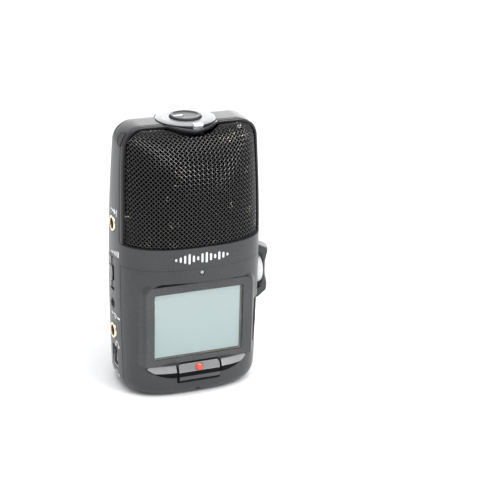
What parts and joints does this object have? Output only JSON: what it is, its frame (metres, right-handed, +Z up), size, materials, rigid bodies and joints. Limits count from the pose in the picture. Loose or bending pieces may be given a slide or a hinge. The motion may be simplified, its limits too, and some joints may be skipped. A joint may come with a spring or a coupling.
{
  "type": "portable field recorder",
  "caption": "Hand-held field recorder with woven-wire microphone grilles, a display, a top mode dial, a guarded gain wheel, side sockets and a rear battery door.",
  "frame": {"origin": "middle of the bounding box at the base the recorder stands on", "axes": "+Z up the case towards the mode dial; -Y the way the display faces; +X towards the gain wheel"},
  "size_m": [0.0676, 0.0428, 0.1138],
  "materials": {
    "center_frame": "semi-gloss moulded black",
    "front_cover": "semi-gloss moulded black",
    "rear_cover": "semi-gloss moulded black",
    "front_grille": "black coated woven wire",
    "rear_grille": "black coated woven wire",
    "front_grille_rim": "gloss black",
    "rear_grille_rim": "gloss black",
    "rim_tab_left": "semi-gloss black",
    "rim_tab_right": "semi-gloss black",
    "display_window": "clear, polished",
    "lcd_panel": "pale grey-green liquid crystal",
    "clip_lamp": "frosted blue-grey lens",
    "left_trim_wing": "polished dark grey",
    "right_trim_wing": "polished dark grey",
    "rec_button": "polished black",
    "rec_lens": "translucent red",
    "rec_switch": "moulded",
    "mode_scale_ring": "satin anodised",
    "mode_lamp_tab": "translucent white",
    "mode_dial": "satin, serrated rim",
    "mode_pointer": "white",
    "mode_switch": "moulded",
    "mic_bracket": "moulded",
    "xy_mic_left": "satin",
    "xy_mic_right": "satin",
    "mid_mic": "satin",
    "side_mic_left": "satin",
    "side_mic_right": "satin",
    "main_board": "solder mask",
    "key_board": "solder mask",
    "jog_switch": "moulded",
    "line_in_jack": "gold plated",
    "phones_jack": "gold plated",
    "remote_jack": "moulded black",
    "usb_socket": "stamped shell",
    "volume_rocker": "polished grey",
    "gain_wheel": "pale satin, knurled rim",
    "gain_pot": "plain",
    "gain_guard": "gloss black",
    "side_control_panel": "mirror black",
    "menu_button": "polished",
    "play_carrier": "moulded",
    "play_knob": "polished",
    "power_slider": "ribbed",
    "battery_tray": "moulded",
    "battery_1": "printed sleeve over a light cell",
    "battery_2": "printed sleeve over a light cell",
    "battery_spring_1": "plated wire",
    "battery_spring_2": "plated wire",
    "battery_link": "plated strip",
    "battery_door": "semi-gloss black",
    "speaker": "paper cone and frame",
    "sd_socket": "stamped shell",
    "sd_card": "moulded",
    "sd_cover": "moulded black",
    "tripod_bush": "machined",
    "case_screw_1": "blackened",
    "case_screw_2": "blackened",
    "case_screw_3": "blackened",
    "case_screw_4": "blackened"
  },
  "bodies": {
    "case": {"center_frame": "center_frame", "front_cover": "front_cover", "rear_cover": "rear_cover", "front_grille": "front_grille", "rear_grille": "rear_grille", "front_grille_rim": "front_grille_rim", "rear_grille_rim": "rear_grille_rim", "rim_tab_left": "rim_tab_left", "rim_tab_right": "rim_tab_right", "display_window": "display_window", "lcd_panel": "lcd_panel", "clip_lamp": "clip_lamp", "left_trim_wing": "left_trim_wing", "right_trim_wing": "right_trim_wing", "rec_switch": "rec_switch", "mode_scale_ring": "mode_scale_ring", "mode_lamp_tab": "mode_lamp_tab", "mode_switch": "mode_switch", "mic_bracket": "mic_bracket", "xy_mic_left": "xy_mic_left", "xy_mic_right": "xy_mic_right", "mid_mic": "mid_mic", "side_mic_left": "side_mic_left", "side_mic_right": "side_mic_right", "main_board": "main_board", "key_board": "key_board", "jog_switch": "jog_switch", "line_in_jack": "line_in_jack", "phones_jack": "phones_jack", "remote_jack": "remote_jack", "usb_socket": "usb_socket", "gain_pot": "gain_pot", "gain_guard": "gain_guard", "side_control_panel": "side_control_panel", "battery_tray": "battery_tray", "battery_1": "battery_1", "battery_2": "battery_2", "battery_spring_1": "battery_spring_1", "battery_spring_2": "battery_spring_2", "battery_link": "battery_link", "speaker": "speaker", "sd_socket": "sd_socket", "sd_card": "sd_card", "tripod_bush": "tripod_bush", "case_screw_1": "case_screw_1", "case_screw_2": "case_screw_2", "case_screw_3": "case_screw_3", "case_screw_4": "case_screw_4"},
    "dial": {"mode_dial": "mode_dial", "mode_pointer": "mode_pointer"},
    "wheel": {"gain_wheel": "gain_wheel"},
    "rocker": {"volume_rocker": "volume_rocker"},
    "record_key": {"rec_button": "rec_button", "rec_lens": "rec_lens"},
    "play_shuttle": {"play_carrier": "play_carrier"},
    "play_key": {"play_knob": "play_knob"},
    "menu_key": {"menu_button": "menu_button"},
    "power_key": {"power_slider": "power_slider"},
    "door": {"battery_door": "battery_door"},
    "card_flap": {"sd_cover": "sd_cover"}
  },
  "joints": [
    {"name": "mode_turn", "type": "hinge", "parent": "case", "child": "dial", "pos_m": [-0.0031, 0, 0.113], "axis": [0, 0, 1], "range_deg": [-90, 180]},
    {"name": "gain_turn", "type": "hinge", "parent": "case", "child": "wheel", "pos_m": [0.0274, 0, 0.04505], "axis": [1, 0, 0], "range_deg": [-135, 135]},
    {"name": "volume_rock", "type": "hinge", "parent": "case", "child": "rocker", "pos_m": [-0.0313, 0.00125, 0.04975], "axis": [0, 1, 0], "range_deg": [-3.5, 3.5], "stiffness_Nm_per_rad": 0.06},
    {"name": "rec_press", "type": "slide", "parent": "case", "child": "record_key", "axis": [0, 1, 0], "range_m": [0, 0.0005], "stiffness_N_per_m": 600},
    {"name": "play_slide", "type": "slide", "parent": "case", "child": "play_shuttle", "axis": [0, 0, 1], "range_m": [-0.001, 0.001], "stiffness_N_per_m": 400},
    {"name": "play_press", "type": "slide", "parent": "play_shuttle", "child": "play_key", "axis": [-1, 0, 0], "range_m": [0, 0.0004], "stiffness_N_per_m": 600},
    {"name": "menu_press", "type": "slide", "parent": "case", "child": "menu_key", "axis": [-1, 0, 0], "range_m": [0, 0.0004], "stiffness_N_per_m": 600},
    {"name": "power_slide", "type": "slide", "parent": "case", "child": "power_key", "axis": [0, 0, 1], "range_m": [-0.0013, 0.0013]},
    {"name": "battery_door_hinge", "type": "hinge", "parent": "case", "child": "door", "pos_m": [-0.0031, 0.0207, 0.0062], "axis": [-1, 0, 0], "range_deg": [0, 95]},
    {"name": "card_cover_hinge", "type": "hinge", "parent": "case", "child": "card_flap", "pos_m": [-0.0031, -0.0095, 0.0001], "axis": [1, 0, 0], "range_deg": [0, 100]}
  ]
}
